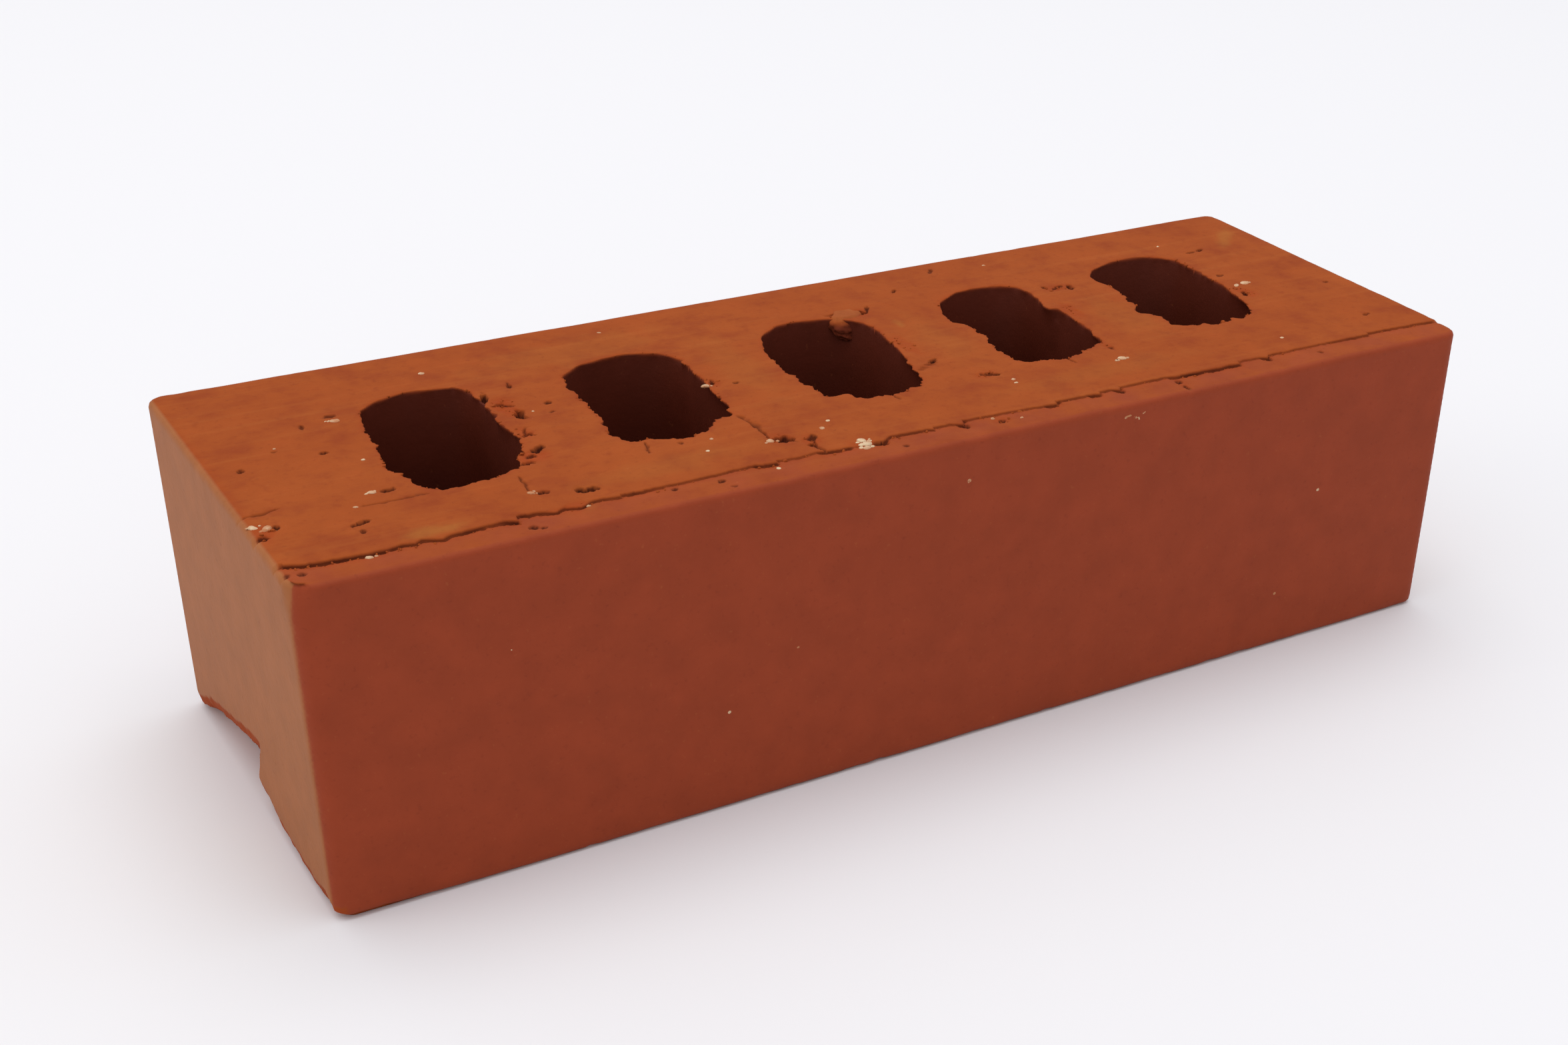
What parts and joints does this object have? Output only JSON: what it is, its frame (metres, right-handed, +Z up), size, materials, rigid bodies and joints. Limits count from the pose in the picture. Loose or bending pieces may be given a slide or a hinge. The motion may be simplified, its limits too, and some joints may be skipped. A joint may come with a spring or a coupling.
{
  "type": "perforated clay brick",
  "caption": "Long fired clay brick with a row of rounded slots right through it, laid in mortar to build walls.",
  "frame": {"origin": "middle of the lower bed face, where the brick rests", "axes": "+X along the length, +Y across the width, +Z up through the perforations"},
  "size_m": [0.29, 0.1, 0.076],
  "materials": {
    "clay": "matt fired red clay, unglazed"
  },
  "bodies": {
    "root": {"brick": "clay"}
  },
  "joints": []
}
